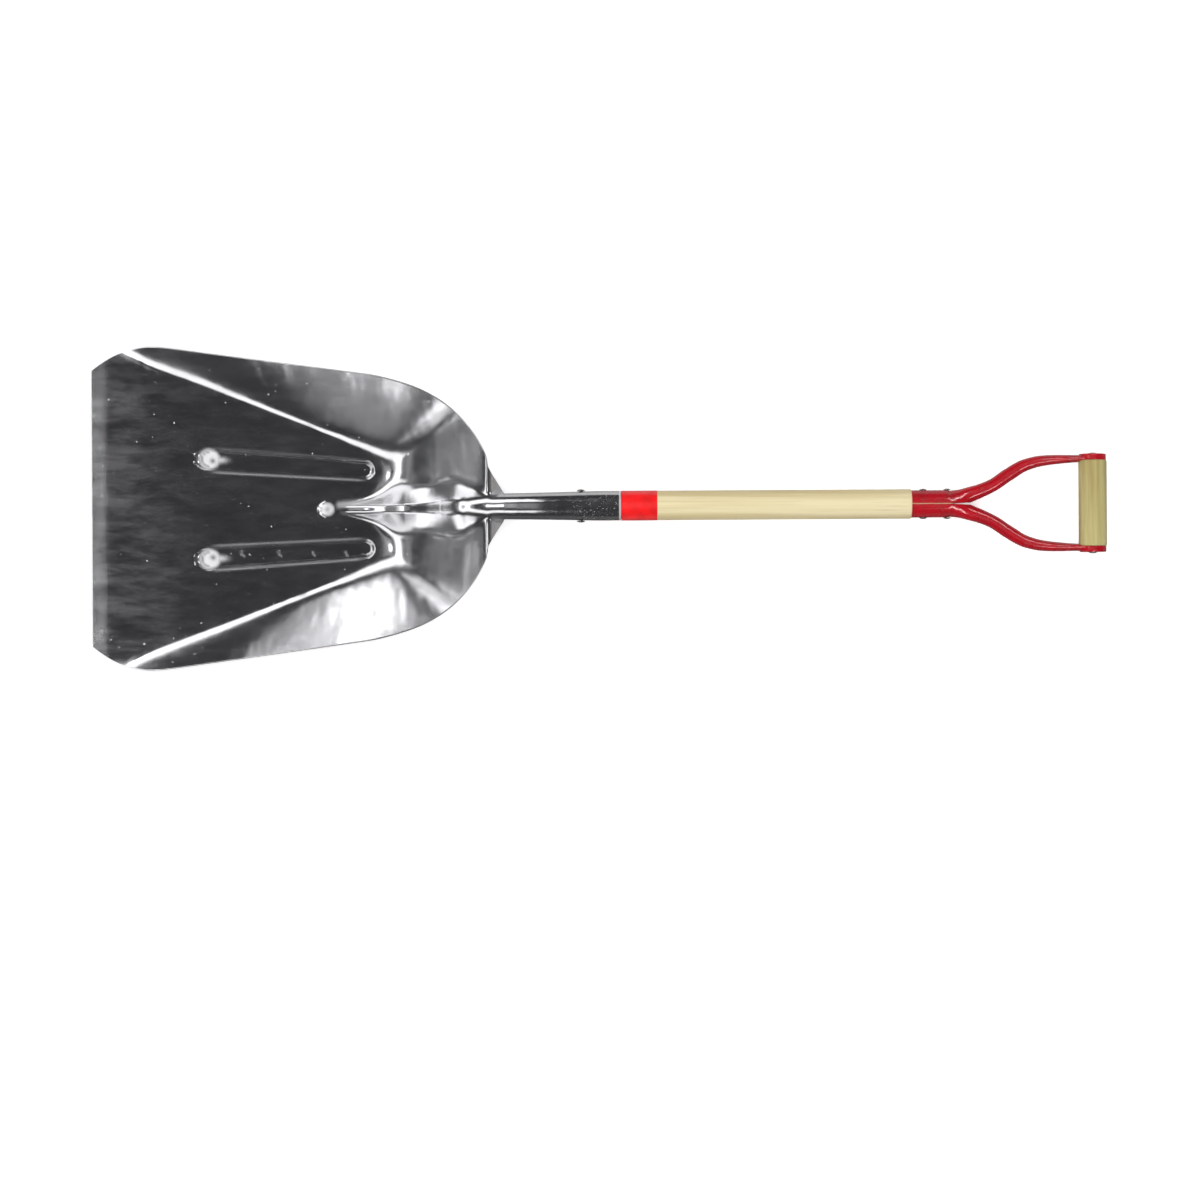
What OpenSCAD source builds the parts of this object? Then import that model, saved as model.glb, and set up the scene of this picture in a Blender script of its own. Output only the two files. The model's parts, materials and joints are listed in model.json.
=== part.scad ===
// Grain scoop shovel: a wide aluminium scoop on a straight wooden shaft with a riveted steel D-grip.
// Millimetres. The tool is drawn along X, blade towards -X, then laid down on its heel and its grip.

/* [Blade] */
// Length from the front edge to the end of the neck
blade_l = 493; // [450:1:540]
// Width across the widest part
blade_w = 386; // [350:1:420]
// Width of the straight front edge
front_w = 330; // [290:1:340]
// Thickness of the sheet
sheet_t = 2; // [1.6:0.1:2.6]
// Angle between the floor and the handle
floor_tilt = 16; // [12:0.5:20]
// Slope of the walls, rise over run
wall_slope = 0.93; // [0.85:0.01:1.05]
// Depth of the two pressed grooves
groove_depth = 4.5; // [2:0.1:6]
// Height of the centre ridge where it is tallest
ridge_h = 30; // [24:0.5:34]

/* [Socket and shaft] */
// Radius of the shaft
shaft_r = 17.7; // [16:0.1:19]
// Length of the shaft that shows, from the socket to the ferrule
shaft_l = 346; // [300:1:400]
// Length of the socket behind the neck
socket_l = 139.5; // [120:0.5:160]
// Length of the red band
band_l = 43; // [20:1:60]
// Radius of the rivet through the socket
rivet_r = 2.5; // [2:0.1:3]

/* [Grip] */
// Length of the wooden grip between the cups
grip_l = 102.6; // [95:0.1:110]
// Radius of the wooden grip
grip_r = 16.8; // [15:0.1:17]
// Thickness of the yoke steel
yoke_t = 1.6; // [1.2:0.1:2]
// Radius of the long rivet through the grip
rod_r = 3.1; // [2.5:0.1:3.5]

/* [Hidden] */
$fn = 96;
eps = 0.01;

neck_x = 17;
neck_r = 15.6;
neck_drop = 3.6;
front_x = neck_x - blade_l;
corner_x = front_x + 40;
round_x = -143;
shoulder_x = -3;
heel_x = -118;
crease_a = 20;
crease_d = 20.8;
groove_from = [-345, 60];
groove_to = [-156, 48];

mouth_x = neck_x + socket_l;
ferrule_x = mouth_x + 0.8 + shaft_l;
ferrule_r = 15.55;
rivet_rows = [ferrule_x + 14.1, ferrule_x + 42.9];
grip_x = ferrule_x + 216.9;
cup_r = 16;
cup_y = grip_l / 2 + 0.1;
cup_h = 7.2;
cup_plate = 1.8;
seam = 1.4;

// A smooth bend from zero to a straight line of slope one
function ramp(s, m) = (s + sqrt(s * s + m * m)) / 2;
function ease(t) = let (c = min(1, max(0, t))) c * c * (3 - 2 * c);
function mix(a, b, t) = a + (b - a) * t;
function smooth_max(a, b, k) = (a + b + sqrt((a - b) * (a - b) + k * k)) / 2;

// Half the width of the blade at x
function side_w(x) =
    blade_w / 2 + 0.7 - 0.139 * ramp(x + 400, 14) - 0.0053 * pow(min(0, x + 403), 2);
function rear_w(x) =
    mix(153, side_w(round_x), pow(max(0, 1 - (x - round_x) / 50), 2)) * sqrt(1 - pow((x - round_x) / 150, 2));
function half_w(x) =
    x < corner_x ? mix(front_w / 2, side_w(corner_x), 1 - pow(1 - (x - front_x) / 40, 1.5))
    : x < round_x ? side_w(x)
    : x < shoulder_x ? rear_w(x)
    : neck_r + 0.3 + 32 * pow((neck_x - x) / 19.5, 1.05);

// Distance outside the edge of the floor, a wedge with a rear end that bends forward at the ridge
function past_crease(x, y) =
    let (
        side = x * sin(crease_a) + norm([y, 15]) * cos(crease_a) - crease_d - 0.0035 * pow(max(0, -394 - x), 2),
        rear = x - heel_x + 24 * exp(-pow(y / 26, 2)) * (1 - ease((x + 125) / 60))
    )
    smooth_max(side, rear, 16 + 0.34 * ramp(smooth_max(side, rear, 18), 20));

// The walls steepen towards their rim, and the rear rim rolls over where the neck starts
function floor_z(x) = -6 - tan(floor_tilt) * (x - front_x);
function fillet(x) = mix(9, 20, ease((x + 220) / 110));
function slope(x) = wall_slope * mix(0.8, 1, ease((x + 360) / 170));
function bowl_z(x, y) =
    let (d = past_crease(x, y))
    floor_z(x) + slope(x) * ramp(d, fillet(x)) + 0.0022 * pow(max(0, d), 2) - 2.6 * ramp(x - shoulder_x - 1, 4);

// Centre ridge: a round crest with sloping flanks, which follows the bowl and ends as the neck
function ridge_up(x) = ridge_h / 30
    * lookup(x, [[-240, -60], [-214, -4], [-208, 2.5], [-201, 5.5], [-194, 4], [-189, 3.2], [-180, 4],
        [-160, 8], [-140, 10], [-120, 9], [-108, 10], [-100, 13], [-90, 19], [-80, 24], [-70, 28],
        [-60, 30]]);
function ridge_r(x) =
    lookup(x, [[-215, 5], [-208, 8.5], [-201, 9.7], [-194, 7], [-189, 5.5], [-175, 7], [-140, 8.5], [-100, 8.5],
        [-80, 9.5], [-60, 12], [-40, 15], [-20, 16], [0, neck_r], [neck_x, neck_r]]);
function crest_z(x) =
    let (u = neck_x - x)
    mix(bowl_z(x, 0) + ridge_up(x), neck_r - neck_drop - 0.17 * u - 0.0035 * u * u, ease((x + 62) / 34));
function ridge_z(x, y) =
    let (r = ridge_r(x), lean = mix(0.77, 0.97, ease((x + 10) / 22)), v = max(0, abs(y) - lean * r))
    crest_z(x) - r + sqrt(r * r - pow(min(abs(y), lean * r), 2)) - v * lean / sqrt(1 - lean * lean);

// Grooves: two long pockets with round ends and a deeper seat at the front
function groove_z(x, y) =
    let (
        p = [x, abs(y)],
        run = groove_to - groove_from,
        t = min(1, max(0, (p - groove_from) * run / (run * run))),
        s = norm(p - groove_from - t * run) - mix(15, 12.5, t),
        q = norm(p - groove_from) / 13
    )
    groove_depth * (1 - ease((s + 6) / 6)) + 1.5 * (1 - ease(q));

function ridge_blend(x) = mix(4, 9, ease((x + 130) / 50)) * mix(1, 0.16, ease((x + 20) / 30));
function skin_z(x, y) =
    smooth_max(bowl_z(x, y), ridge_z(x, y), ridge_blend(x)) - groove_z(x, y);
function skin_normal(x, y) =
    let (e = 1.2, n = [skin_z(x - e, y) - skin_z(x + e, y), skin_z(x, y - e) - skin_z(x, y + e), 2 * e])
    n / norm(n);

// Stations along the blade, and the points across each station from the centre to the rim
skin_x = [front_x, front_x + 2, front_x + 6, front_x + 12, front_x + 20, front_x + 30, corner_x,
    -424, -410, -396, -382, -370, -361, -354, -346, -338, -331, -320, -302, -282, -262, -242, -224,
    -213, -208, -204, -199, -194, -189, -181, -171, -160, -151, -144, -137, -129, -121, -114, -107, -100,
    -93, -85, -77, -69, -61, -52, -43, -35, -27, -20, -13, -8, -4.5, shoulder_x, -1, 1.5, 5, 9, 13, neck_x];

function across(x) =
    let (
        w = half_w(x),
        r = ridge_r(x),
        g = mix(60, 48, min(1, max(0, (x + 345) / 189))),
        h = mix(15, 12.5, min(1, max(0, (x + 345) / 189))),
        c = min(w - 14, (crease_d - x * sin(crease_a)) / cos(crease_a)),
        plain = [for (k = [6:18]) mix(1.2 * r, w, (k - 5) / 13)],
        marks = [g - h, g - h + 6, g, g + h - 6, g + h, mix(g + h, c - 8, 0.36), mix(g + h, c - 8, 0.7),
            c - 8, c, c + 8, mix(c + 8, w, 0.36), mix(c + 8, w, 0.7), w],
        t = ease((x + 150) / 60),
        free = [for (f = [0, 0.35, 0.65, 0.85, 0.97, 1.2]) f * r],
        rest = [for (k = [0:12]) mix(marks[k], plain[k], t)],
        out = concat(free, rest),
        last = ease((x - shoulder_x) / (neck_x - shoulder_x))
    )
    [for (k = [0:18]) mix(out[k], w * sin(90 * k / 18), last)];

function whole(half) = concat([for (k = [18:-1:1]) -half[k]], half);
skin_rows = [for (x = skin_x) [for (y = whole(across(x))) [x, y]]];
skin_top = [for (row = skin_rows) for (p = row) [p.x, p.y, skin_z(p.x, p.y)]];
skin_low = [for (p = skin_top) p - sheet_t * skin_normal(p.x, p.y)];
across_n = 37;
along_n = len(skin_x);
skin_n = across_n * along_n;

// Resting pose: the blade's heel and the grip both touch the ground
rest_tilt = max([for (p = skin_low) -atan2(p.z, grip_x - p.x) - asin(grip_r / norm([grip_x - p.x, p.z]))]);
rest_lift = grip_x * sin(rest_tilt) + grip_r;
rest_from = min([for (p = skin_low) p.x * cos(rest_tilt) + p.z * sin(rest_tilt)]);
rest_to = grip_x * cos(rest_tilt) + grip_r;

module lie_down() {
    translate([-(rest_from + rest_to) / 2, 0, rest_lift])
        rotate([0, rest_tilt, 0])
            children();
}

// A body turned about the handle axis from [radius, x] points
module turned(profile) {
    rotate([0, 90, 0])
        rotate_extrude()
            polygon(profile);
}

// A pin across the handle at x, from -half to half
module cross_pin(x, r, half) {
    translate([x, half, 0])
        rotate([90, 0, 0])
            cylinder(r = r, h = 2 * half);
}

module cross_rivet(x, shank, head, from, to) {
    cross_pin(x, shank, from + eps);
    for (s = [-1, 1])
        translate([x, s * from, 0])
            rotate([-90 * s, 0, 0])
                cylinder(r1 = head, r2 = 0.62 * head, h = to - from);
}

module pan() {
    top = [for (i = [0:along_n - 2]) for (j = [0:across_n - 2])
        let (a = i * across_n + j)
        each [[a, a + 1, a + across_n + 1], [a, a + across_n + 1, a + across_n]]];
    low = [for (f = top) [f[2] + skin_n, f[1] + skin_n, f[0] + skin_n]];
    rim = concat(
        [for (j = [0:across_n - 2]) j],
        [for (i = [0:along_n - 2]) i * across_n + across_n - 1],
        [for (j = [across_n - 1:-1:1]) (along_n - 1) * across_n + j],
        [for (i = [along_n - 1:-1:1]) i * across_n]
    );
    edge = [for (k = [0:len(rim) - 1])
        let (a = rim[k], b = rim[(k + 1) % len(rim)])
        each [[b, a, a + skin_n], [b, a + skin_n, b + skin_n]]];
    color("silver")
        polyhedron(points = concat(skin_top, skin_low), faces = concat(top, low, edge), convexity = 6);
}

// A cylinder from the point at (x, z) towards the blade, sloping down
module droop(x, z, angle, l, r1, r2) {
    translate([x, 0, z])
        rotate([0, -90 - angle, 0])
            cylinder(r1 = r1, r2 = r2, h = l);
}

module socket() {
    color("gainsboro")
        difference() {
            union() {
                turned([
                    [0, 88], [16.77, 88], [17.7, 128], [17.7, mouth_x - 1], [17.2, mouth_x], [0, mouth_x]
                ]);
                droop(89.5, 0, 2.87, 71.8, 16.5, neck_r);
                droop(19, -3.5, 11.5, 16.5, 12.7, 12.7);
            }
            turned([[0, 63], [14, 63], [15.7, 105], [15.7, mouth_x + 1], [0, mouth_x + 1]]);
            droop(66, -1.1, 2.87, 50, 11, 11);
            droop(24, -3.1, 11.5, 24, 10.2, 10.2);
            cross_pin(108.7, rivet_r + 0.1, 25);
        }
}

module shaft() {
    color("burlywood")
        difference() {
            turned([
                [0, 65], [13.2, 65], [13.8, 67], [13.9, 69], [15.5, 105], [15.5, mouth_x + 0.2],
                [shaft_r - 0.5, mouth_x + 0.2], [shaft_r - 0.5, mouth_x + 0.2 + band_l],
                [shaft_r, mouth_x + 0.3 + band_l], [shaft_r, ferrule_x - 1], [shaft_r - 0.6, ferrule_x - 0.2],
                [14.5, ferrule_x - 0.2], [14.5, ferrule_x + 47], [10, ferrule_x + 52], [0, ferrule_x + 52]
            ]);
            cross_pin(108.7, rivet_r + 0.1, 25);
            for (x = rivet_rows)
                cross_pin(x, 2.7, 25);
            for (s = [-1, 1])
                translate([ferrule_x - 0.2, -3.4, s * 14.5 - 3.5])
                    cube([60, 6.8, 7]);
        }
}

module band() {
    color("red")
        turned([
            [shaft_r - 0.4, mouth_x + 0.3], [shaft_r + 0.2, mouth_x + 0.3],
            [shaft_r + 0.2, mouth_x + 0.2 + band_l], [shaft_r - 0.4, mouth_x + 0.2 + band_l]
        ]);
}

// Yoke half: [x, y, half size outwards, half size up, turned-in lip] along the middle of the arm
arm_keys = [
    [-20, 0, ferrule_r, ferrule_r, 2.6], [0, 0, ferrule_r, ferrule_r, 2.6],
    [24, 0, ferrule_r, ferrule_r, 2.6], [44, 0, ferrule_r, ferrule_r, 2.6],
    [55, 3.9, 12.4, 12.6, 1.6], [67.3, 9.7, 8.8, 8.8, 0.4], [82, 14.9, 7.6, 7.6, 0],
    [97, 21.5, 7, 7, 0], [116.3, 34.3, 7, 7, 0], [136.3, 45.6, 6.4, 7.1, 0],
    [156.3, 50.6, 5.6, 7.7, 0], [176.3, 52.2, 4.6, 8.8, 0], [194, 52.8, 3.7, 10, 0],
    [206, 53.2, 3.2, 10.8, 0], [226, 53.2, 3.2, 10.8, 0]
];

function bend(k, i, t) =
    0.5 * (2 * k[i] + t * (k[i + 1] - k[i - 1])
    + t * t * (2 * k[i - 1] - 5 * k[i] + 4 * k[i + 1] - k[i + 2])
    + t * t * t * (3 * k[i] - k[i - 1] - 3 * k[i + 1] + k[i + 2]));

arm_line = concat(
    [arm_keys[1], arm_keys[2], arm_keys[3]],
    [for (i = [3:12]) for (t = [1 / 3, 2 / 3, 1]) bend(arm_keys, i, t)]
);
arm_n = len(arm_line);

function arm_way(i) =
    let (
        a = arm_line[max(0, i - 1)],
        b = arm_line[min(arm_n - 1, i + 1)],
        d = [b.x - a.x, b.y - a.y]
    )
    d / norm(d);

// One corner of the section: angle f round the tube, offset o across the sheet
function arm_point(s, d, f, o) =
    let (
        q = norm([s[3] * cos(f), s[2] * sin(f)]),
        u = s[2] * cos(f) + o * s[3] * cos(f) / q,
        v = s[3] * sin(f) + o * s[2] * sin(f) / q
    )
    [ferrule_x + s.x - d.y * u, s.y + d.x * u, v];

function arm_ring(i) =
    let (
        s = arm_line[i],
        d = arm_way(i),
        h = yoke_t / 2,
        open = s[2] + h,
        f = min(174, acos(max(-1, (seam - s.y) / open))),
        g = f - (yoke_t + 0.1) / s[3] * 57.3,
        lip = max(0.6, s[4]),
        n = 11
    )
    concat(
        [for (k = [0:n]) arm_point(s, d, mix(-f, f, k / n), h)],
        [arm_point(s, d, f, -lip), arm_point(s, d, g, -lip)],
        [for (k = [0:n]) arm_point(s, d, mix(g, -g, k / n), -h)],
        [arm_point(s, d, -g, -lip), arm_point(s, d, -f, -lip)]
    );

ring_n = 28;

// Cells of the end caps, as strips across the sheet
function cap_cells(o) =
    concat(
        [for (k = [0:10]) each [[k, k + 1, 25 - k - 1], [k, 25 - k - 1, 25 - k]]],
        [[11, 12, 13], [11, 13, 14], [0, 25, 26], [0, 26, 27]]
    ) + [for (k = [1:26]) [o, o, o]];

module arm() {
    sides = [for (i = [0:arm_n - 2]) for (k = [0:ring_n - 1])
        let (a = i * ring_n + k, b = i * ring_n + (k + 1) % ring_n)
        each [[a, b + ring_n, b], [a, a + ring_n, b + ring_n]]];
    last = [for (f = cap_cells((arm_n - 1) * ring_n)) [f[2], f[1], f[0]]];
    polyhedron(
        points = [for (i = [0:arm_n - 1]) each arm_ring(i)],
        faces = concat(sides, cap_cells(0), last),
        convexity = 8
    );
}

module cup_disc(r, from, to) {
    translate([grip_x, from, 0])
        rotate([-90, 0, 0])
            cylinder(r = r, h = to - from);
}

module yoke_half() {
    difference() {
        union() {
            arm();
            cup_disc(cup_r, cup_y, cup_y + cup_h);
        }
        cup_disc(cup_r - 1.6, cup_y - 1, cup_y + cup_h - cup_plate);
        cup_disc(grip_r + 0.4, cup_y - 12, cup_y);
        cup_disc(rod_r + 0.1, cup_y, cup_y + cup_h + 1);
        for (x = rivet_rows)
            translate([x, 5, 0])
                rotate([-90, 0, 0])
                    cylinder(r = 2.7, h = 20);
    }
}

module yoke_left() {
    color("firebrick")
        yoke_half();
}

module yoke_right() {
    color("firebrick")
        mirror([0, 1, 0])
            yoke_half();
}

module ferrule_rivet_front() {
    color("lightgrey")
        cross_rivet(rivet_rows[0], 2.6, 4.4, ferrule_r + 0.9, 18.2);
}

module ferrule_rivet_rear() {
    color("lightgrey")
        cross_rivet(rivet_rows[1], 2.6, 4.4, ferrule_r + 0.9, 18.2);
}

module socket_rivet() {
    color("lightgrey")
        cross_rivet(108.7, rivet_r, 5, 17.8, 19.9);
}

module grip() {
    end = grip_l / 2;
    color("tan")
        translate([grip_x, 0, 0])
            rotate([-90, 0, 0])
                rotate_extrude()
                    polygon([
                        [rod_r + 0.2, -end - 5.3], [13.7, -end - 5.3], [14.2, -end - 4.8], [14.2, -end],
                        [grip_r - 0.8, -end], [grip_r, -end + 1.6], [grip_r, end - 1.6],
                        [grip_r - 0.8, end], [14.2, end], [14.2, end + 4.8], [13.7, end + 5.3],
                        [rod_r + 0.2, end + 5.3]
                    ]);
}

module grip_rod() {
    color("lightgrey")
        cross_rivet(grip_x, rod_r, 5.2, cup_y + cup_h, cup_y + cup_h + 1.6);
}

lie_down() {
    pan();
    socket();
    shaft();
    band();
    yoke_left();
    yoke_right();
    ferrule_rivet_front();
    ferrule_rivet_rear();
    grip();
    socket_rivet();
    grip_rod();
}
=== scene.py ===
import json
import math

import bpy
import numpy as np
from mathutils import Matrix, Vector

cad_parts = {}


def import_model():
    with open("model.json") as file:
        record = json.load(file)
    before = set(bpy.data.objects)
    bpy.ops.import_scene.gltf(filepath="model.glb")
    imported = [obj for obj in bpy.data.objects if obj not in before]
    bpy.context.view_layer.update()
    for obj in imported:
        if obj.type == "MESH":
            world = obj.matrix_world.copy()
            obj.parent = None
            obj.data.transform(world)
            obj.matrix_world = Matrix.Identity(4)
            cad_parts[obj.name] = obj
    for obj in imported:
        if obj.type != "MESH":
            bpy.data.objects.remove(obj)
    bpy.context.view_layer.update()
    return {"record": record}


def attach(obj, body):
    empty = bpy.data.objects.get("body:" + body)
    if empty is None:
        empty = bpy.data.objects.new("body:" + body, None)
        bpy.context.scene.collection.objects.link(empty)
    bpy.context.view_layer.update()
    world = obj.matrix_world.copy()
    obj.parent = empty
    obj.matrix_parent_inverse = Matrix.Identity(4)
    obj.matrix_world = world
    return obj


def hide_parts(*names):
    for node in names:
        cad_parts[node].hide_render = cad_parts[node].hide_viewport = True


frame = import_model()
mounts = {m["name"]: m for m in frame["record"]["mounts"]}

# The tool's own frame: X along the handle, blade towards -X, Z out of the bowl's mouth.
# Sizes and places below are in millimetres in this frame, and new_piece turns them into metres.
MM = 0.001
CLIP_X = 351.4  # the middle of the shaft clip
along = Vector(mounts["shaft_clip"]["axis"]).normalized()
side = Vector((0, 1, 0))
up = along.cross(side)
origin = Vector(mounts["shaft_clip"]["pos_m"]) - along * CLIP_X * MM
TOOL = Matrix((along, side, up)).transposed().to_4x4()
TOOL.translation = origin


# ---------------------------------------------------------------- numbers and curves
def ramp(s, m):
    """Zero that bends smoothly into a line of slope one."""
    return (s + np.sqrt(s * s + m * m)) / 2


def ease(t):
    """A smooth step from 0 to 1 as t goes from 0 to 1."""
    c = np.clip(t, 0, 1)
    return c * c * (3 - 2 * c)


def mix(a, b, t):
    return a + (b - a) * t


def smooth_max(a, b, k):
    """The larger of two values, rounded off where they are about k apart or less."""
    return (a + b + np.sqrt((a - b) ** 2 + k * k)) / 2


def curve(x, points):
    """A smooth curve through (x, y) points that doesn't overshoot them."""
    xs, ys = np.array(points, float).T
    h = np.diff(xs)
    d = np.diff(ys) / h
    m = np.concatenate(([d[0]], np.zeros(len(h) - 1), [d[-1]]))
    same = d[:-1] * d[1:] > 0
    m[1:-1][same] = 2 * d[:-1][same] * d[1:][same] / (d[:-1] + d[1:])[same]
    x = np.clip(x, xs[0], xs[-1])
    i = np.clip(np.searchsorted(xs, x) - 1, 0, len(h) - 1)
    t = (x - xs[i]) / h[i]
    return (
        (1 + 2 * t) * (1 - t) ** 2 * ys[i]
        + t * (1 - t) ** 2 * h[i] * m[i]
        + t * t * (3 - 2 * t) * ys[i + 1]
        + t * t * (t - 1) * h[i] * m[i + 1]
    )


# ---------------------------------------------------------------- mesh helpers
def new_piece(name, points, faces, material, nodes, normals=None):
    """A piece from points in millimetres in the tool's frame, standing for the named CAD nodes."""
    turn = np.array(TOOL.to_3x3())
    mesh = bpy.data.meshes.new(name)
    mesh.from_pydata((np.asarray(points) * MM @ turn.T + np.array(origin)).tolist(), [], faces)
    mesh.polygons.foreach_set("use_smooth", [True] * len(mesh.polygons))
    mesh.update()
    if normals is not None:
        mesh.normals_split_custom_set_from_vertices((np.asarray(normals) @ turn.T).tolist())
    piece = bpy.data.objects.new(name, mesh)
    bpy.context.scene.collection.objects.link(piece)
    piece.data.materials.append(material)
    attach(piece, "root")
    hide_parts(*nodes)
    return piece


def grid_faces(rows, cols, closed=False, start=0, flip=False):
    """Quads over a rows by cols grid of points, joined round the columns if closed."""
    out = []
    last = cols if closed else cols - 1
    for i in range(rows - 1):
        for j in range(last):
            k = (j + 1) % cols
            quad = [i * cols + j, i * cols + k, (i + 1) * cols + k, (i + 1) * cols + j]
            quad = [start + q for q in quad]
            out.append(quad[::-1] if flip else quad)
    return out


def lathe(profile, steps=96, axis="X"):
    """Points and faces of a body turned from (radius, distance) points, closed at radius zero."""
    profile = np.array(profile, float)
    turn = np.linspace(0, 2 * np.pi, steps, endpoint=False)
    r, d = profile[:, 0][:, None], profile[:, 1][:, None]
    a, b, c = r * np.cos(turn), r * np.sin(turn), d + 0 * turn
    points = np.stack([c, a, b] if axis == "X" else [b, c, a], -1).reshape(-1, 3)
    return points, grid_faces(len(profile), steps, closed=True, flip=True)


def rounded(profile, radius, steps=5):
    """The (radius, distance) outline with each inner corner cut to an arc of about that radius."""
    pts = [np.array(p, float) for p in profile]
    out = [pts[0]]
    for before, here, after in zip(pts[:-2], pts[1:-1], pts[2:]):
        back, ahead = before - here, after - here
        room = min(radius, np.linalg.norm(back) / 2.01, np.linalg.norm(ahead) / 2.01)
        p = here + back / np.linalg.norm(back) * room
        q = here + ahead / np.linalg.norm(ahead) * room
        for t in np.linspace(0, 1, steps):
            out.append((1 - t) ** 2 * p + 2 * t * (1 - t) * here + t * t * q)
    return out + [pts[-1]]


def dense(profile, step):
    """The (radius, distance) outline with its long straight runs split up."""
    out = [np.array(profile[0], float)]
    for a, b in zip(profile[:-1], profile[1:]):
        a, b = np.array(a, float), np.array(b, float)
        n = max(1, int(np.linalg.norm(b - a) / step))
        out += [mix(a, b, (k + 1) / n) for k in range(n)]
    return out


def sharp_edges(piece, degrees=40):
    """Keeps edges over the angle crisp on a smooth-shaded piece."""
    piece.data.set_sharp_from_angle(angle=math.radians(degrees))


# ---------------------------------------------------------------- material helpers
def new_material(name):
    material = bpy.data.materials.new(name)
    material.use_nodes = True
    nodes = material.node_tree.nodes
    nodes.clear()
    out = nodes.new("ShaderNodeOutputMaterial")
    shader = nodes.new("ShaderNodeBsdfPrincipled")
    material.node_tree.links.new(shader.outputs[0], out.inputs[0])
    return material, shader


class Graph:
    """Short names for the nodes of one material, with coordinates in the tool's frame, in metres."""

    def __init__(self, material):
        self.tree = material.node_tree
        back = TOOL.inverted()
        lay = self.add("ShaderNodeMapping")
        lay.inputs["Location"].default_value = back.translation
        lay.inputs["Rotation"].default_value = back.to_euler()
        self.link(self.add("ShaderNodeTexCoord").outputs["Object"], lay.inputs["Vector"])
        self.place = lay.outputs[0]
        split = self.add("ShaderNodeSeparateXYZ")
        self.link(self.place, split.inputs[0])
        self.x, self.y, self.z = split.outputs

    def add(self, kind, **settings):
        node = self.tree.nodes.new(kind)
        for key, value in settings.items():
            setattr(node, key, value)
        return node

    def link(self, a, b):
        self.tree.links.new(a, b)

    def put(self, socket, value):
        if isinstance(value, (int, float, tuple)):
            socket.default_value = value
        else:
            self.link(value, socket)

    def scaled(self, scale, rotation=(0, 0, 0)):
        """The place, stretched differently along each axis."""
        node = self.add("ShaderNodeMapping")
        self.link(self.place, node.inputs["Vector"])
        node.inputs["Scale"].default_value = scale
        node.inputs["Rotation"].default_value = rotation
        return node.outputs[0]

    def noise(self, scale, detail=4.0, rough=0.5, vector=None):
        node = self.add("ShaderNodeTexNoise")
        node.inputs["Scale"].default_value = scale
        node.inputs["Detail"].default_value = detail
        node.inputs["Roughness"].default_value = rough
        self.link(vector or self.place, node.inputs["Vector"])
        return node.outputs["Fac"]

    def steps(self, value, low, high, to_low=0.0, to_high=1.0):
        """A smooth step from to_low to to_high as the value goes from low to high."""
        node = self.add("ShaderNodeMapRange", interpolation_type="SMOOTHSTEP")
        self.put(node.inputs[0], value)
        for i, v in enumerate((low, high, to_low, to_high)):
            self.put(node.inputs[i + 1], v)
        return node.outputs[0]

    def math(self, kind, a, b=0.0):
        node = self.add("ShaderNodeMath", operation=kind)
        self.put(node.inputs[0], a)
        self.put(node.inputs[1], b)
        return node.outputs[0]

    def blend(self, amount, a, b):
        """Colour a where the amount is 0 and colour b where it is 1."""
        node = self.add("ShaderNodeMix", data_type="RGBA")
        self.put(node.inputs[0], amount)
        self.put(node.inputs[6], a)
        self.put(node.inputs[7], b)
        return node.outputs[2]

    def bump(self, height, strength, distance, normal=None):
        node = self.add("ShaderNodeBump")
        self.put(node.inputs["Height"], height)
        node.inputs["Strength"].default_value = strength
        node.inputs["Distance"].default_value = distance
        if normal is not None:
            self.link(normal, node.inputs["Normal"])
        return node.outputs[0]


# ---------------------------------------------------------------- materials
def specks_and_scratches(g):
    """Small bright specks and faint scratches along the handle, on the parts below the handle's axis."""
    speck = g.steps(g.noise(170.0, 2.0, 0.6), 0.735, 0.76)
    scored = g.noise(1.0, 2.0, 0.5, g.scaled((35.0, 1100.0, 400.0), (0, 0, 0.12)))
    scratch = g.steps(scored, 0.72, 0.78)
    marks = g.math("ADD", speck, g.math("MULTIPLY", scratch, 0.25))
    return g.math("MULTIPLY", marks, g.steps(g.z, 0.0, -0.02))


def painted_glints_and_crimp_specks(g, grain):
    """Where the metal loses its shine: the sheet's painted highlights, a painted highlight round the
    socket's mouth, and specks on the socket's crimp.
    """
    sheet = g.add("ShaderNodeAttribute", attribute_name="painted_highlights_and_specks").outputs["Fac"]
    dots = g.steps(g.noise(420.0, 2.0, 0.6), 0.6, 0.68, 0.0, 0.3)
    crimp = g.math("MULTIPLY", g.steps(g.x, 0.088, 0.1), dots)
    # painted highlight: a thin pale band of haze just inside the socket's mouth, standing in for its bright
    # rim
    mouth_highlight = g.steps(g.x, 0.1535, 0.155, 0.0, 0.7)
    painted_highlights_and_specks = g.math("MAXIMUM", sheet, g.math("MAXIMUM", crimp, mouth_highlight))
    return g.math("MULTIPLY", painted_highlights_and_specks, g.steps(grain, 0.2, 0.8, 0.85, 1.0))


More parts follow.
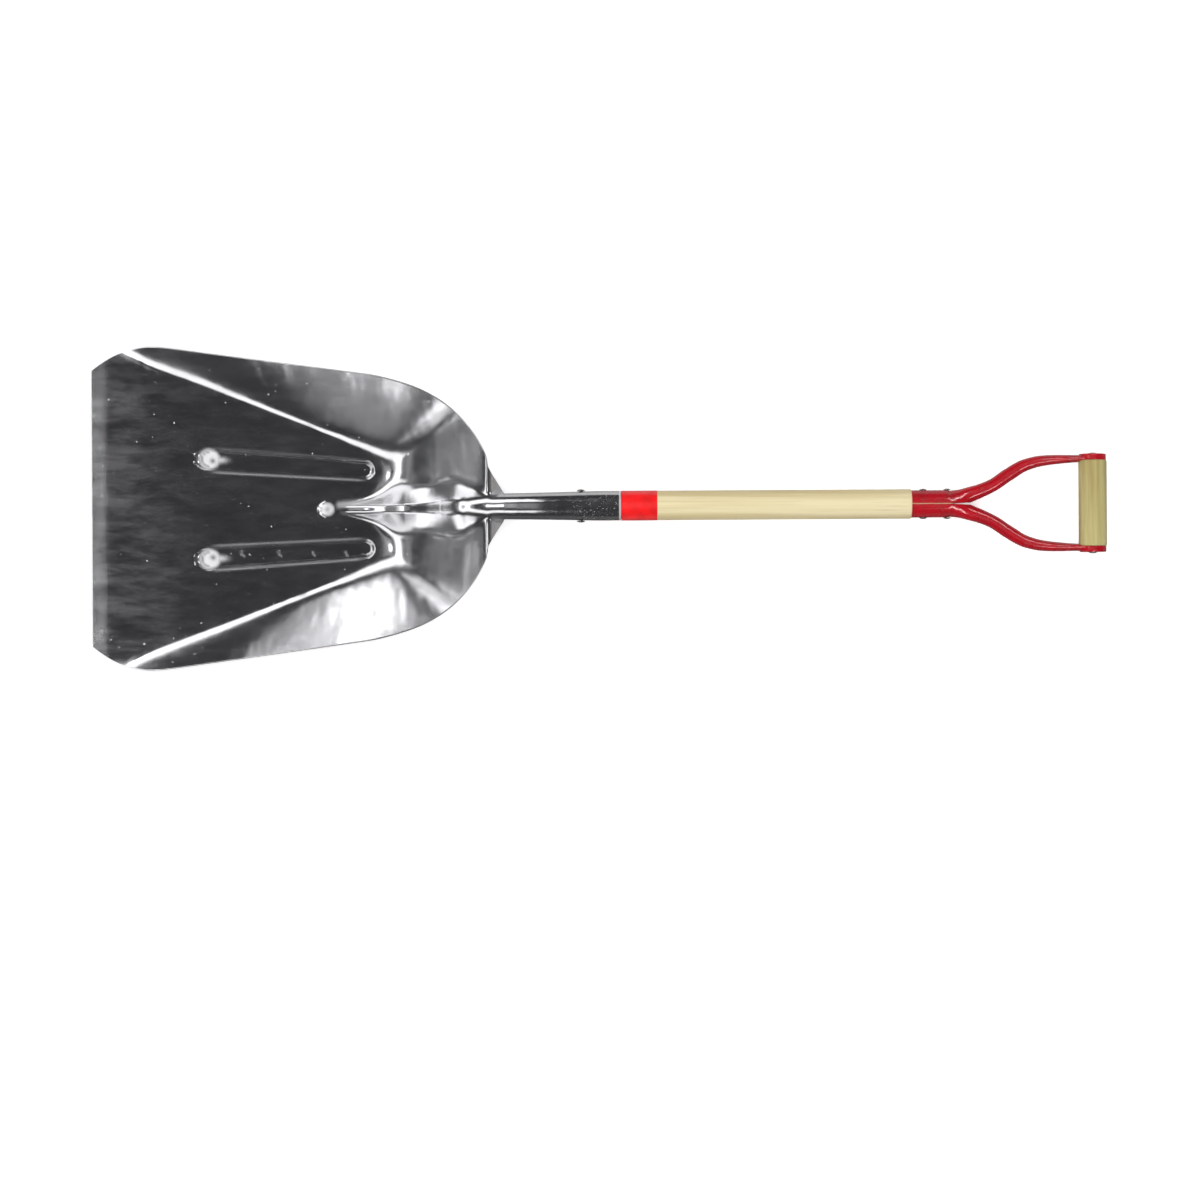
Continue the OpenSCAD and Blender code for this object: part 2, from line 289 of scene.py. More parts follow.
def polished_aluminium():
    """Rolled and polished sheet. The part of it that is haze scatters light, and the rest mirrors."""
    material, shader = new_material("polished_aluminium")
    g = Graph(material)
    times, plus = "MULTIPLY", "ADD"
    mottle = g.noise(14.0, 6.0, 0.65)
    smear = g.noise(1.0, 6.0, 0.7, g.scaled((14.0, 60.0, 40.0)))
    brushed = g.noise(1.0, 3.0, 0.7, g.scaled((20.0, 1500.0, 900.0)))
    grain = g.noise(900.0, 3.0, 0.7)
    front = g.steps(g.x, -0.33, -0.47)
    # painted highlight: a pale strip of haze across the front of the blade
    front_strip_highlight = g.math(times, g.steps(g.x, -0.455, -0.466), g.steps(mottle, 0.35, 0.65, 0.5, 1.0))

    haze = g.math(times, g.steps(smear, 0.35, 0.75), g.math(plus, g.math(times, front, 0.09), 0.018))
    haze = g.math(plus, haze, g.math(times, g.steps(brushed, 0.4, 0.7), 0.010))
    haze = g.math(plus, haze, g.math(times, front_strip_highlight, g.steps(grain, 0.3, 0.7, 0.03, 0.2)))
    haze = g.math(plus, haze, specks_and_scratches(g))
    # the haze also carries the painted highlights of the sheet and of the socket's mouth
    haze = g.math("MINIMUM", g.math("MAXIMUM", haze, painted_glints_and_crimp_specks(g, grain)), 1.0)
    g.link(g.math("SUBTRACT", 1.0, haze), shader.inputs["Metallic"])

    shade = g.blend(g.steps(mottle, 0.3, 0.75), (0.82, 0.82, 0.83, 1), (0.72, 0.72, 0.735, 1))
    g.link(shade, shader.inputs["Base Color"])
    rear = g.steps(g.x, -0.2, -0.09, 0.0, 0.03)
    rear = g.math(times, rear, g.steps(g.x, 0.0, 0.02, 1.0, 0.3))
    duller = g.math(plus, rear, g.math(times, front_strip_highlight, 0.12))
    g.link(g.math(plus, g.steps(smear, 0.3, 0.8, 0.12, 0.2), duller), shader.inputs["Roughness"])
    waves = g.noise(1.0, 2.0, 0.5, g.scaled((26.0, 9.0, 9.0)))
    bumpy = g.bump(waves, 0.35, 0.004)
    g.link(g.bump(brushed, 0.05, 0.0003, bumpy), shader.inputs["Normal"])
    return material


def wood(name, light, dark, stretch):
    """Straight-grained wood: growth rings seen along the cut, pores and slow changes of colour."""
    material, shader = new_material(name)
    g = Graph(material)
    rings = g.noise(1.0, 3.0, 0.55, g.scaled(tuple(s * 90 for s in stretch)))
    pores = g.noise(1.0, 4.0, 0.7, g.scaled(tuple(s * 420 for s in stretch)))
    slow = g.noise(1.0, 2.0, 0.5, g.scaled(tuple(s * 25 for s in stretch)))
    tone = g.blend(g.steps(rings, 0.35, 0.7), light + (1,), dark + (1,))
    tone = g.blend(g.steps(pores, 0.55, 0.75, 0.0, 0.5), tone, tuple(0.75 * c for c in dark) + (1,))
    tone = g.blend(g.steps(slow, 0.4, 0.7, 0.0, 0.35), tone, tuple(0.9 * c for c in light) + (1,))
    g.link(tone, shader.inputs["Base Color"])
    g.link(g.steps(pores, 0.3, 0.8, 0.36, 0.55), shader.inputs["Roughness"])
    g.link(g.bump(pores, 0.25, 0.0003), shader.inputs["Normal"])
    shader.inputs["Coat Weight"].default_value = 0.15
    shader.inputs["Coat Roughness"].default_value = 0.25
    return material


def enamel(name, colour, rough):
    """Sprayed paint with slight orange peel, under a thin clear coat."""
    material, shader = new_material(name)
    g = Graph(material)
    uneven = g.noise(60.0, 3.0, 0.5)
    dark = tuple(0.78 * c for c in colour)
    g.link(g.blend(g.steps(uneven, 0.35, 0.7), colour + (1,), dark + (1,)), shader.inputs["Base Color"])
    peel = g.noise(420.0, 2.0, 0.4)
    g.link(g.steps(uneven, 0.3, 0.8, rough, rough + 0.1), shader.inputs["Roughness"])
    g.link(g.bump(peel, 0.12, 0.0002), shader.inputs["Normal"])
    shader.inputs["Coat Weight"].default_value = 0.5
    shader.inputs["Coat Roughness"].default_value = 0.06
    return material


def zinc_metal():
    """Dull plated steel, spotted with age."""
    material, shader = new_material("zinc")
    g = Graph(material)
    shader.inputs["Metallic"].default_value = 1.0
    spots = g.noise(900.0, 3.0, 0.6)
    colour = g.blend(g.steps(spots, 0.35, 0.7), (0.62, 0.61, 0.57, 1), (0.42, 0.41, 0.38, 1))
    g.link(colour, shader.inputs["Base Color"])
    g.link(g.steps(spots, 0.3, 0.7, 0.25, 0.45), shader.inputs["Roughness"])
    g.link(g.bump(spots, 0.2, 0.0001), shader.inputs["Normal"])
    return material


ALUMINIUM = polished_aluminium()
SHAFT_WOOD = wood("shaft_wood", (0.80, 0.70, 0.44), (0.58, 0.46, 0.22), (0.025, 1.0, 1.0))
GRIP_WOOD = wood("grip_wood", (0.56, 0.50, 0.22), (0.34, 0.25, 0.08), (1.0, 0.045, 1.0))
YOKE_RED = enamel("yoke_enamel", (0.46, 0.005, 0.014), 0.22)
BAND_RED = enamel("band_red", (0.95, 0.012, 0.014), 0.34)
ZINC = zinc_metal()


# ---------------------------------------------------------------- blade
# stations along the handle: front edge, end of its clipped corners, start of the round rear,
# shoulders, and the neck where the sheet ends
FRONT, CORNER, ROUND, SHOULDER, NECK = -476.0, -436.0, -143.0, -3.0, 17.0
NECK_R, NECK_DROP, SHEET = 15.6, 3.6, 2.0
# the crease round the flat floor: its rear end, its angle to the handle and its distance from it
HEEL_X, CREASE, CREASE_D = -118.0, math.radians(20), 20.8
# the grooves' front and rear ends, and their half widths there
GROOVE_A, GROOVE_B = np.array([-345.0, 60.0]), np.array([-156.0, 48.0])
GROOVE_HALF = (15, 12.5)
# places of painted highlights: the seat at each groove's front end with its dark centre, the glints painted
# in place of dents, and the ridge's nose
SEAT_X, SEAT_Y = -341, 60.5
SEAT_R = 8.5
DENT_GLINT_XS = (-302, -258, -217, -178)
NOSE_X = -201


def side_w(x):
    """Half the width between the two straight sides."""
    return 193.7 - 0.139 * ramp(x + 400, 14) - 0.0053 * np.minimum(0, x + 403) ** 2


def rear_w(x):
    """Half the width of the round rear."""
    wide = mix(153.0, side_w(ROUND), np.clip(1 - (x - ROUND) / 50, 0, None) ** 2)
    return wide * np.sqrt(np.clip(1 - ((x - ROUND) / 150) ** 2, 0, 1))


def half_w(x):
    """Half the blade's width at x."""
    t = np.clip((x - FRONT) / (CORNER - FRONT), 0, 1)
    corner = mix(165.0, side_w(CORNER), 1 - (1 - t) ** 1.5)
    neck = NECK_R + 0.3 + 32 * (np.clip(NECK - x, 0, None) / 19.5) ** 1.05
    return np.select([x < CORNER, x < ROUND, x < SHOULDER], [corner, side_w(x), rear_w(x)], neck)


def past_crease(x, y):
    """Distance outside the edge of the floor, a wedge with a rear end that bends forward at the ridge."""
    aside = x * math.sin(CREASE) + np.hypot(y, 15) * math.cos(CREASE) - CREASE_D
    aside = aside - 0.0035 * np.maximum(0, -394 - x) ** 2
    behind = x - HEEL_X + 24 * np.exp(-((y / 26) ** 2)) * (1 - ease((x + 125) / 60))
    return smooth_max(aside, behind, 16 + 0.34 * ramp(smooth_max(aside, behind, 18), 20))


def bowl_z(x, y):
    """The flat sloping floor, and the walls that rise from it past the crease."""
    d = past_crease(x, y)
    floor = -6 - math.tan(math.radians(16)) * (x - FRONT)
    fillet = mix(9, 20, ease((x + 220) / 110))
    slope = 0.93 * mix(0.8, 1, ease((x + 360) / 170))
    roll = 2.6 * ramp(x - SHOULDER - 1, 4)
    return floor + slope * ramp(d, fillet) + 0.0022 * np.maximum(0, d) ** 2 - roll


# the ridge's height above the bowl and its crest's radius, as (x, value) points
RIDGE_UP = [
    (-240, -60), (-214, -4), (-208, 2.5), (-201, 5.5), (-194, 4), (-189, 3.2), (-180, 4), (-160, 8),
    (-140, 10), (-120, 9), (-108, 10), (-100, 13), (-90, 19), (-80, 24), (-70, 28), (-60, 30),
]
RIDGE_R = [
    (-215, 5), (-208, 8.5), (-201, 9.7), (-194, 7), (-189, 5.5), (-175, 7), (-140, 8.5), (-100, 8.5),
    (-80, 9.5), (-60, 12), (-40, 15), (-20, 16), (0, NECK_R), (NECK, NECK_R),
]


def ridge_z(x, y):
    """The centre ridge: a round crest with sloping flanks, which ends as the neck."""
    back = NECK - x
    neck = NECK_R - NECK_DROP - 0.17 * back - 0.0035 * back * back
    crest = mix(bowl_z(x, 0 * x) + curve(x, RIDGE_UP), neck, ease((x + 62) / 34))
    r = curve(x, RIDGE_R)
    lean = mix(0.77, 0.97, ease((x + 10) / 22))
    v = np.maximum(0, np.abs(y) - lean * r)
    round_part = np.sqrt(r * r - np.minimum(np.abs(y), lean * r) ** 2)
    return crest - r + round_part - v * lean / np.sqrt(1 - lean * lean)


def past_groove(x, y):
    """Distance outside the edge of the nearer groove."""
    run = GROOVE_B - GROOVE_A
    px, py = x - GROOVE_A[0], np.abs(y) - GROOVE_A[1]
    t = np.clip((px * run[0] + py * run[1]) / (run @ run), 0, 1)
    return np.hypot(px - t * run[0], py - t * run[1]) - mix(*GROOVE_HALF, t)


def bell(d, wide):
    """One at d = 0, fading to zero past the width."""
    return np.exp(-((d / wide) ** 2))


def groove_z(x, y):
    """Depth of the two pressed grooves, with a deeper seat at each front end."""
    px, py = x - GROOVE_A[0], np.abs(y) - GROOVE_A[1]
    s = past_groove(x, y)
    return 4.5 * (1 - ease((s + 6) / 6)) + 1.5 * (1 - ease(np.hypot(px, py) / 13))


def skin_z(x, y):
    """The height of the sheet's upper face."""
    blend = mix(4, 9, ease((x + 130) / 50)) * mix(1, 0.16, ease((x + 20) / 30))
    return smooth_max(bowl_z(x, y), ridge_z(x, y), blend) - groove_z(x, y)


def skin_normal(x, y, e):
    """The upper face's unit normal, from heights at a distance e to each side."""
    n = np.stack([
        skin_z(x - e, y) - skin_z(x + e, y),
        skin_z(x, y - e) - skin_z(x, y + e),
        2 * e + 0 * x,
    ], -1)
    return n / np.linalg.norm(n, axis=-1, keepdims=True)


def painted_seat_highlights(x, v):
    """A painted highlight on the seat at each groove's front end, with a dark centre and a dark rim at the
    front where the painted highlight is left out.
    """
    from_seat = np.hypot(x - SEAT_X, v - SEAT_Y)
    centre = bell(np.hypot(x - SEAT_X - 4, v - SEAT_Y + 2), 3.2)
    dark = np.maximum(centre, 0.7 * bell(from_seat - SEAT_R, 1.2) * (x < SEAT_X))
    seat = (1 - ease((from_seat - 9) / 6)) * (1 - 0.9 * dark)
    tail = 0.8 * bell((v - 59.5) / 3.5, 1) * bell((x + 328) / 8, 1)
    return np.maximum(seat, tail)


def painted_rim_highlights(x, y):
    """Painted highlights along the grooves' rims: all of the lower groove's, and the inner side of the
    upper groove's.
    """
    v = np.abs(y)
    rim = bell(past_groove(x, y), 1.4) * ease((x + 345) / 20) * ease((-150 - x) / 20)
    stronger = np.where(y < 0, ease(v / 60), v < 52)
    return rim * mix(0.10, 0.34, stronger)


def painted_dent_glints(x, y):
    """Painted highlights: curved folds of light in the floor of the lower groove, in place of dents."""
    lower = y < -50
    folds = [bell(np.hypot(x - dent - 3, y + 52) - 5, 1.3) * (x < dent + 2) for dent in DENT_GLINT_XS]
    return 0.3 * np.max(folds, axis=0) * lower


def painted_ridge_highlights(x, y):
    """A painted highlight on the ridge's nose, with a darker middle, and a painted streak of highlight
    along the side of the ridge behind it.
    """
    from_nose = np.hypot(x - NOSE_X, y)
    nose = (1 - ease((from_nose - 6) / 4)) * (1 - 0.45 * bell(from_nose, 3))
    streak = bell((y - 5 - (x + 190) * 0.1) / 4, 1) * ease((x + 193) / 6) * ease((-128 - x) / 20)
    return np.maximum(nose, 0.5 * streak)


def painted_highlight_parts(x, y):
    """How much painted highlight, as matt pale haze, the sheet's upper face gets, from 0 to 1."""
    v = np.abs(y)
    # painted light grey sheen on the shoulders
    shoulder_sheen = 0.24 * ease((x + 1) / 3) * ease((v - 14) / 4)
    parts = [painted_seat_highlights(x, v), painted_rim_highlights(x, y), painted_dent_glints(x, y), painted_ridge_highlights(x, y), shoulder_sheen]
    return np.max(parts, axis=0)


def outer_loop(rows, cols):
    """The (row, column) places round the outside of a grid, in order."""
    ahead = [(0, j) for j in range(cols)] + [(i, cols - 1) for i in range(1, rows)]
    back = [(rows - 1, j) for j in range(cols - 2, -1, -1)] + [(i, 0) for i in range(rows - 2, 0, -1)]
    return ahead + back


def cut_edge(a, b):
    """Rows of points and normals from edge loop a to edge loop b of the sheet, which bulge outwards."""
    ahead = np.roll(a, -1, 0) - np.roll(a, 1, 0)
    out = np.cross(a - b, ahead)
    out /= np.linalg.norm(out, axis=1, keepdims=True) + 1e-9
    middle = np.array([(FRONT + NECK) / 2, 0, 0])
    out *= np.sign(np.sum((a - middle) * out, 1, keepdims=True))
    across = (a - b) / np.linalg.norm(a - b, axis=1, keepdims=True)
    points, normals = [], []
    for t in (0.12, 0.32, 0.5, 0.68, 0.88):
        bulge = math.sin(math.pi * t)
        points.append(mix(a, b, t) + 0.35 * bulge * out)
        normals.append(out * bulge + across * math.cos(math.pi * t))
    return points, normals


def pan():
    """The scoop: an upper and a lower skin over one grid, joined by the cut edge."""
    rows, cols = 240, 190
    u = np.linspace(0, 1, rows)
    v = np.linspace(-1, 1, cols)
    x = FRONT + (NECK - FRONT) * mix(u, 1 - (1 - u) ** 2, 0.35)
    x, v = np.meshgrid(x, v, indexing="ij")
    y = half_w(x) * mix(v, v**3, 0.3)
    top = np.stack([x, y, skin_z(x, y)], -1)
    shine = skin_normal(x, y, 0.4)
    low = top - SHEET * skin_normal(x, y, 1.5)

    loop = outer_loop(rows, cols)
    edge, edge_n = cut_edge(np.array([top[p] for p in loop]), np.array([low[p] for p in loop]))
    points = np.concatenate([top.reshape(-1, 3), low.reshape(-1, 3), *edge])
    normals = np.concatenate([shine.reshape(-1, 3), -shine.reshape(-1, 3), *edge_n])

    n, size = rows * cols, len(loop)
    faces = grid_faces(rows, cols, flip=True) + grid_faces(rows, cols, start=n)
    first = [i * cols + j for i, j in loop]
    last = [n + f for f in first]
    between = [[2 * n + k * size + i for i in range(size)] for k in range(len(edge))]
    belts = [first] + between + [last]
    for one, two in zip(belts[:-1], belts[1:]):
        for i in range(size):
            k = (i + 1) % size
            faces.append([one[i], one[k], two[k], two[i]])
    piece = new_piece("pan_sheet", points, faces, ALUMINIUM, ["pan"], normals)

    # the painted highlights go into a point attribute that the aluminium's haze reads
    painted_highlights_and_specks = piece.data.attributes.new("painted_highlights_and_specks", "FLOAT", "POINT")
    values = np.zeros(len(points))
    values[:n] = painted_highlight_parts(x, y).reshape(-1)
    painted_highlights_and_specks.data.foreach_set("value", values)
    return piece


# ---------------------------------------------------------------- socket, shaft and band
# the socket's mouth, where the tube starts to droop, and the shaft's tenon inside it
MOUTH, DROOP_X, TENON_X = 156.5, 90, 65
FERRULE, FERRULE_DEEP = 503.3, 46
SHAFT_R = 17.7
BAND_LONG = 43.2
SOCKET_RIVET_X = 108.7
RIVET_ROWS = (FERRULE + 14.1, FERRULE + 42.9)


def socket():
    """The swaged tube, with a stepped bore for the shaft and a thin spigot inside the pan's neck."""
    spigot = [(10.2, 3), (12.6, 3), (12.7, 4), (12.7, NECK), (NECK_R, NECK + 0.2), (NECK_R, NECK + 1)]
    tube = [(16.2, 60), (16.8, 90), (17.7, 128), (17.7, MOUTH - 0.6), (17.2, MOUTH), (15.8, MOUTH)]
    bore = [(15.7, 106), (14, 64), (11, 62), (11, 22), (10.2, 20), (10.2, 3)]
    points, faces = lathe(dense(rounded(spigot + tube + bore, 1.2), 4), 128)
    # the tube droops towards the neck, and the spigot carries on down
    whole = DROOP_X - NECK
    back = np.clip(DROOP_X - points[:, 0], 0, whole)
    points[:, 2] -= NECK_DROP * (back / whole) ** 2 + 0.2 * np.maximum(0, NECK - points[:, 0])
    piece = new_piece("socket_tube", points, faces, ALUMINIUM, ["socket"])
    sharp_edges(piece)
    return piece


def shaft():
    """The ash shaft, thinner where the socket, the band and the ferrule cover it."""
    tenon = [(0, TENON_X), (13.2, TENON_X), (13.8, 67), (13.9, 69), (15.5, 105), (15.5, MOUTH + 0.2)]
    seat = [(SHAFT_R - 0.5, MOUTH + 0.3), (SHAFT_R - 0.5, MOUTH + BAND_LONG)]
    handle = [(SHAFT_R, MOUTH + BAND_LONG + 0.3), (SHAFT_R, FERRULE - 1.2), (SHAFT_R - 0.5, FERRULE - 0.2)]
    end = [(14.4, FERRULE - 0.1), (14.4, FERRULE + FERRULE_DEEP), (10, FERRULE + 51), (0, FERRULE + 51)]
    points, faces = lathe(rounded(tenon + seat + handle + end, 0.8), 128)
    piece = new_piece("shaft_ash", points, faces, SHAFT_WOOD, ["shaft"])
    sharp_edges(piece)
    return piece


def band():
    """The thin red sleeve in its seat on the shaft."""
    inside, outside = SHAFT_R - 0.4, SHAFT_R + 0.2
    near, far = MOUTH + 0.3, MOUTH + BAND_LONG
    outline = [(inside, near), (outside, near), (outside, far), (inside, far), (inside, near)]
    points, faces = lathe(rounded(outline, 0.25), 128)
    piece = new_piece("band_sleeve", points, faces, BAND_RED, ["band"])
    sharp_edges(piece)
    return piece


def cross_rivet(name, x, shank, head, seat, tip, node):
    """A rivet across the handle: a shank with a domed head at each end."""
    dome = [(head * math.cos(a), seat + (tip - seat) * math.sin(a)) for a in np.linspace(0, math.pi / 2, 9)]
    half = [(shank, 0), (shank, seat), (head, seat)] + dome[1:-1] + [(0.001, tip)]
    outline = [(r, -d) for r, d in half[:0:-1]] + half[1:]
    points, faces = lathe(outline, 40, axis="Y")
    points[:, 0] += x
    piece = new_piece(name, points, faces, ZINC, [node])
    sharp_edges(piece)
    return piece


# ---------------------------------------------------------------- yoke and grip
# the grip's axis, half its length between the cups, and how deep and how wide a cup is
GRIP_X = FERRULE + 216.9
GRIP_HALF = 51.3
CUP_Y, CUP_DEEP, CUP_R = 51.4, 7.2, 16
STEEL = 1.6
SEAM = 0.5
ARM = np.array([
    # x, y, half size outwards, half size up, turned-in lip
    (0, 0, 15.55, 15.55, 2.6), (24, 0, 15.55, 15.55, 2.6), (44, 0, 15.55, 15.55, 2.6),
    (55, 3.9, 12.4, 12.6, 1.6), (67.3, 9.7, 8.8, 8.8, 0.4), (82, 14.9, 7.6, 7.6, 0),
    (97, 21.5, 7, 7, 0), (116.3, 34.3, 7, 7, 0), (136.3, 45.6, 6.4, 7.1, 0),
    (156.3, 50.6, 5.6, 7.7, 0), (176.3, 52.2, 4.6, 8.8, 0), (194, 52.8, 3.7, 10, 0),
    (207, 53.2, 3.2, 10.8, 0),
])


def arm_ring(x, y, wide, high, lip, way):
    """One section of a yoke arm: a rolled sheet, open towards the other half, with turned-in lips."""
    h = STEEL / 2
    f = min(math.radians(174), math.acos(max(-1, (SEAM - y) / (wide + h))))
    g = f - (STEEL + 0.1) / high
    lip = max(0.6, lip)

    def at(angle, off):
        c, s = math.cos(angle), math.sin(angle)
        q = math.hypot(high * c, wide * s)
        u = wide * c + off * high * c / q
        v = high * s + off * wide * s / q
        return (FERRULE + x - way[1] * u, y + way[0] * u, v)

    ring = [at(a, h) for a in np.linspace(-f, f, 49)]
    ring += [at(f, 0.2), at(f, -lip), at(g, -lip)]
    ring += [at(a, -h) for a in np.linspace(g, -g, 33)]
    return ring + [at(-g, -lip), at(-f, -lip), at(-f, 0.2)]


def yoke(name, node, mirror):
    """Half of the yoke: its half ferrule and arm as one swept sheet, and its cup."""
    xs = np.concatenate([np.linspace(0, 42, 8), np.linspace(44, 207, 84)])
    keys = np.stack([curve(xs, ARM[:, [0, k]]) for k in range(1, 5)], -1)
    path = np.stack([xs, keys[:, 0]], -1)
    way = np.gradient(path, axis=0)
    way /= np.linalg.norm(way, axis=1, keepdims=True)
    points = np.array([arm_ring(x, *k, w) for x, k, w in zip(xs, keys, way)])
    rows, cols = points.shape[:2]
    faces = grid_faces(rows, cols, closed=True)
    faces.append(list(range(cols)))
    faces.append([(rows - 1) * cols + k for k in range(cols)][::-1])
    points = points.reshape(-1, 3)

    # the arm ends at the grip and leaves the inside of the cup free
    spread = np.hypot(points[:, 0] - GRIP_X, points[:, 2])
    room = np.where(points[:, 1] < CUP_Y, 17.2, 14.6)
    back = np.sqrt(np.maximum(room**2 - points[:, 2] ** 2, 0))
    points[:, 0] = np.where(spread < room, np.minimum(points[:, 0], GRIP_X - back), points[:, 0])

    inside, outside = CUP_Y + 5.4, CUP_Y + CUP_DEEP
    cup = [
        (3.2, inside), (14.4, inside), (14.4, CUP_Y), (CUP_R, CUP_Y), (CUP_R, outside),
        (3.2, outside), (3.2, inside),
    ]
    more, extra = lathe(rounded(cup, 1.5), 96, axis="Y")
    more[:, 0] += GRIP_X
    extra = [[q + len(points) for q in f] for f in extra]
    points = np.concatenate([points, more])
    faces += extra
    if mirror:
        points = points * (1, -1, 1)
        faces = [f[::-1] for f in faces]
    piece = new_piece(name, points, faces, YOKE_RED, [node])
    sharp_edges(piece, 50)
    return piece


def grip():
    """The turned cross grip, stepped down where its ends sit in the cups."""
    end = GRIP_HALF
    half = [
        (3.3, end + 5.3), (13.7, end + 5.3), (14.2, end + 4.8), (14.2, end), (16, end), (16.8, end - 1.6),
        (16.8, 0),
    ]
    outline = half + [(r, -d) for r, d in half[-2::-1]] + [half[0]]
    points, faces = lathe(rounded(outline, 0.6), 128, axis="Y")
    points[:, 0] += GRIP_X
    piece = new_piece("grip_wooden", points, faces, GRIP_WOOD, ["grip"])
    sharp_edges(piece)
    return piece


pan()
socket()
shaft()
band()
yoke("yoke_arm_left", "yoke_left", False)
yoke("yoke_arm_right", "yoke_right", True)
grip()
cross_rivet("rivet_socket", SOCKET_RIVET_X, 2.5, 5.0, 17.8, 19.9, "socket_rivet")
cross_rivet("rivet_ferrule_front", RIVET_ROWS[0], 2.6, 4.4, 16.4, 18.2, "ferrule_rivet_front")
cross_rivet("rivet_ferrule_rear", RIVET_ROWS[1], 2.6, 4.4, 16.4, 18.2, "ferrule_rivet_rear")
cross_rivet("rod_grip", GRIP_X, 3.1, 5.2, CUP_Y + CUP_DEEP, CUP_Y + 8.8, "grip_rod")


# ---------------------------------------------------------------- floor, lights and camera
def floor():
    """A plain pale ground that the metal doesn't mirror."""
    mesh = bpy.data.meshes.new("floor")
    half = 6
    corners = [(-half, -half, 0), (half, -half, 0), (half, half, 0), (-half, half, 0)]
    mesh.from_pydata(corners, [], [(0, 1, 2, 3)])
    plane = bpy.data.objects.new("floor", mesh)
    bpy.context.scene.collection.objects.link(plane)
    material, shader = new_material("floor_pale")
    shader.inputs["Base Color"].default_value = (0.93, 0.925, 0.93, 1)
    shader.inputs["Roughness"].default_value = 0.8
    shader.inputs["Specular IOR Level"].default_value = 0.0
    shader.inputs["Emission Color"].default_value = (1, 1, 1, 1)
    shader.inputs["Emission Strength"].default_value = 0.5
    plane.data.materials.append(material)
    plane.visible_glossy = False
    return plane


def softbox(name, centre, target, size, radiance, matt=False):
    """A rectangular light that faces target. It lights matt surfaces only, or is mirrored only."""
    way = Vector(centre) - Vector(target)
    data = bpy.data.lights.new(name, "AREA")
    data.shape = "RECTANGLE"
    data.size, data.size_y = size[0] * MM, size[1] * MM
    data.energy = radiance * math.pi * data.size * data.size_y
    lamp = bpy.data.objects.new(name, data)
    bpy.context.scene.collection.objects.link(lamp)
    lamp.location = TOOL @ (Vector(centre) * MM)
    lamp.rotation_mode = "QUATERNION"
    lamp.rotation_quaternion = (TOOL.to_3x3() @ way.normalized()).to_track_quat("Z", "Y")
    lamp.visible_diffuse = matt
    lamp.visible_glossy = not matt
    lamp.visible_camera = False
    return lamp


def ground_grey(tree, place, split):
    """The grey of the room below the horizon: lighter towards +Y, and patchy, as a real room is."""
    patchy = tree.nodes.new("ShaderNodeTexNoise")
    patchy.inputs["Scale"].default_value = 2.6
    patchy.inputs["Detail"].default_value = 2.0
    tree.links.new(place.outputs["Generated"], patchy.inputs["Vector"])
    tilt = tree.nodes.new("ShaderNodeMath")
    tilt.operation = "MULTIPLY_ADD"
    tree.links.new(split.outputs["Y"], tilt.inputs[0])
    tilt.inputs[1].default_value = 0.45
    tree.links.new(patchy.outputs["Fac"], tilt.inputs[2])
    grey = tree.nodes.new("ShaderNodeMapRange")
    tree.links.new(tilt.outputs[0], grey.inputs[0])
    for i, value in enumerate((0.35, 1.0, 0.09, 0.6)):
        grey.inputs[i + 1].default_value = value
    return grey.outputs[0]


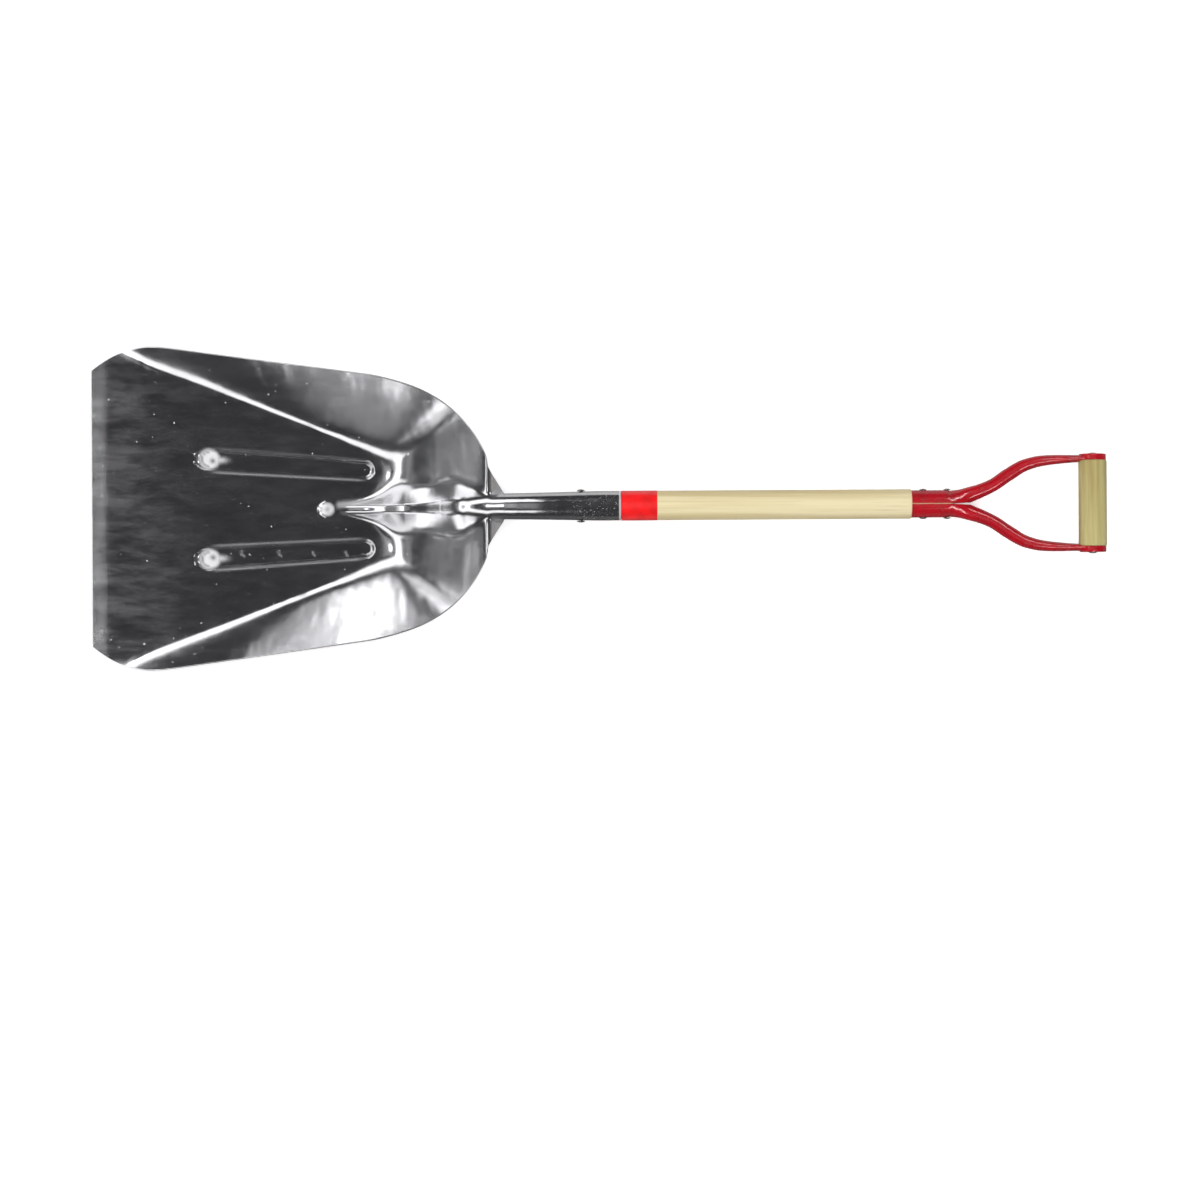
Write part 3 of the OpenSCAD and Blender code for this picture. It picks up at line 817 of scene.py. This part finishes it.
def world():
    """A dark room above a grey ground for the metal to mirror, and near white behind the floor."""
    scene = bpy.context.scene
    scene.world = bpy.data.worlds.new("studio")
    scene.world.use_nodes = True
    tree = scene.world.node_tree
    tree.nodes.clear()
    out = tree.nodes.new("ShaderNodeOutputWorld")
    back = tree.nodes.new("ShaderNodeBackground")
    place = tree.nodes.new("ShaderNodeTexCoord")
    split = tree.nodes.new("ShaderNodeSeparateXYZ")
    tree.links.new(place.outputs["Generated"], split.inputs[0])

    lean = tree.nodes.new("ShaderNodeMath")
    lean.operation = "MULTIPLY_ADD"
    tree.links.new(split.outputs["X"], lean.inputs[0])
    lean.inputs[1].default_value = 0.04
    tree.links.new(split.outputs["Z"], lean.inputs[2])
    rise = tree.nodes.new("ShaderNodeMapRange")
    rise.interpolation_type = "SMOOTHSTEP"
    tree.links.new(lean.outputs[0], rise.inputs[0])
    rise.inputs[1].default_value = -0.12
    rise.inputs[2].default_value = 0.02

    shade = tree.nodes.new("ShaderNodeMix")
    shade.data_type = "RGBA"
    tree.links.new(rise.outputs[0], shade.inputs[0])
    tree.links.new(ground_grey(tree, place, split), shade.inputs[6])
    shade.inputs[7].default_value = (0.035, 0.035, 0.037, 1)

    path = tree.nodes.new("ShaderNodeLightPath")
    seen = tree.nodes.new("ShaderNodeMix")
    seen.data_type = "RGBA"
    tree.links.new(path.outputs["Is Camera Ray"], seen.inputs[0])
    tree.links.new(shade.outputs[2], seen.inputs[6])
    seen.inputs[7].default_value = (0.9, 0.9, 0.9, 1)
    tree.links.new(seen.outputs[2], back.inputs[0])
    tree.links.new(back.outputs[0], out.inputs[0])


def camera():
    """Looks straight down on the tool, square to the handle, rolled a little as in the picture."""
    data = bpy.data.cameras.new("camera")
    data.lens = 100
    data.sensor_width = 36
    width, middle, below = 1434.0, 131.5, 112.6
    distance = width * data.lens / data.sensor_width
    roll = math.radians(0.34)
    right = Vector((math.cos(roll), -math.sin(roll), 0))
    above = Vector((math.sin(roll), math.cos(roll), 0))
    place = Vector((middle, 0, 0)) - above * below + Vector((0, 0, distance))
    turn = Matrix((right, above, Vector((0, 0, 1)))).transposed().to_4x4()
    eye = bpy.data.objects.new("camera", data)
    bpy.context.scene.collection.objects.link(eye)
    eye.matrix_world = TOOL @ Matrix.Translation(place * MM) @ turn
    data.clip_start, data.clip_end = 0.05, 60
    bpy.context.scene.camera = eye
    return eye


def lights():
    """A broad matt fill from the camera's side, and softboxes and cards that the metal mirrors."""
    softbox("fill", (130, 0, 2600), (130, 0, 0), (2400, 2400), 5.2, matt=True)
    # long boxes beside the bowl, for the side walls
    softbox("box_top_side", (-560, 620, 590), (-250, 0, -60), (1050, 440), 1.5)
    softbox("box_low_side", (-560, -590, 600), (-250, 0, -60), (1050, 340), 1.3)
    # cards that face down, sized across the tool and then along it: a grey for the walls' double
    # reflections, a low white one for the rear bend, a low grey one for the rear wall, a strip for the
    # drooping tube, and a white patch for the lower wall
    softbox("card_behind", (-600, 150, 1500), (-600, 150, 0), (1100, 600), 0.3)
    softbox("card_far", (-540, 0, 300), (-540, 0, 0), (400, 200), 2.0)
    softbox("card_rear", (-940, 0, 290), (-940, 0, 0), (900, 200), 0.3)
    softbox("card_above", (-230, 0, 1500), (-230, 0, 0), (1400, 140), 0.2)
    softbox("card_patch", (-650, 170, 1440), (-650, 170, 0), (330, 215), 5.0)
    # small bright strips for the yoke's arms
    for name, sign in (("strip_left", 1), ("strip_right", -1)):
        softbox(name, (760, sign * 300, 380), (640, 0, 0), (260, 60), 14.0)


floor()
world()
lights()
camera()
bpy.context.scene.view_settings.view_transform = "Standard"
